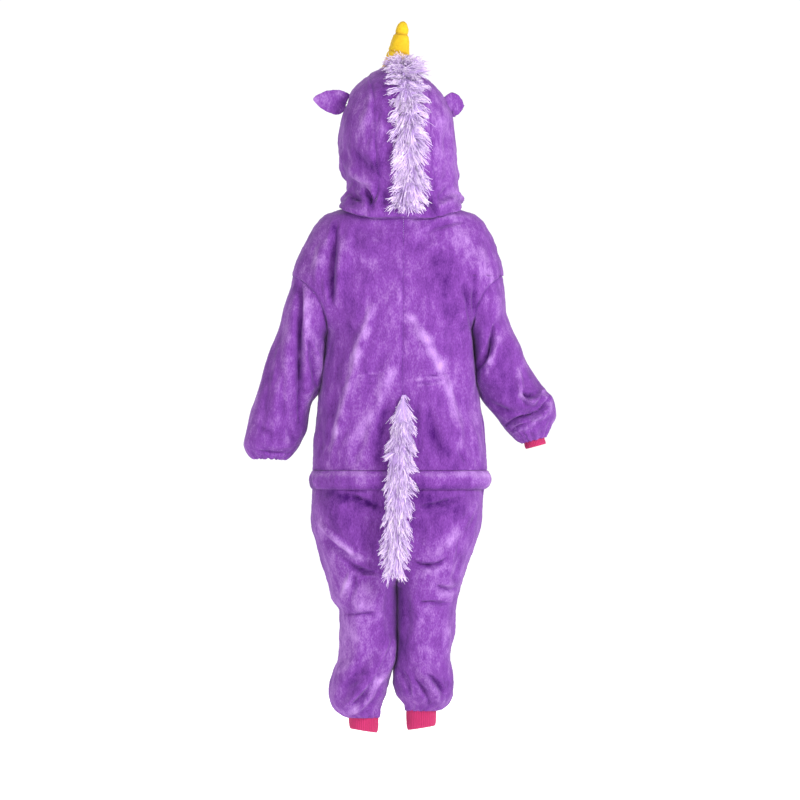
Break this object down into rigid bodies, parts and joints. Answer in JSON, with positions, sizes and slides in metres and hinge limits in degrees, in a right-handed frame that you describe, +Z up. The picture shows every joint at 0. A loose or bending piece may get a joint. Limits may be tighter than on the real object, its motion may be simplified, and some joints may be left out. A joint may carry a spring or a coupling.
{
  "type": "unicorn onesie",
  "caption": "Child's hooded plush unicorn onesie in its worn, hollow form, with horn, ears, fringe mane and tail, hem band across the seat and ribbed cuffs.",
  "frame": {"origin": "middle of the neck opening, level with the tops of the wearer's shoulders that carry the garment", "axes": "+Z up, +X towards the wearer's right, +Y the way the wearer faces, so the back with the tail faces -Y"},
  "size_m": [0.583, 0.297, 1.3299],
  "materials": {
    "purple_plush": "soft napped plush",
    "lilac_fringe": "soft yarn",
    "yellow_felt": "short plush, stuffed",
    "pink_rib": "rib knit",
    "purple_button": "satin"
  },
  "bodies": {
    "root": {"hood_left": "purple_plush", "hood_right": "purple_plush", "hood_gusset": "purple_plush", "ear_left": "purple_plush", "ear_right": "purple_plush", "horn": "yellow_felt", "mane": "lilac_fringe", "tail": "lilac_fringe", "back_left": "purple_plush", "back_right": "purple_plush", "seat_band": "purple_plush", "leg_back_left": "purple_plush", "leg_back_right": "purple_plush", "front_left": "purple_plush", "front_right": "purple_plush", "placket": "purple_plush", "button_1": "purple_button", "button_2": "purple_button", "button_3": "purple_button", "button_4": "purple_button", "button_5": "purple_button", "sleeve_left": "purple_plush", "sleeve_right": "purple_plush", "wrist_cuff_left": "pink_rib", "wrist_cuff_right": "pink_rib", "ankle_cuff_left": "pink_rib", "ankle_cuff_right": "pink_rib"}
  },
  "joints": []
}
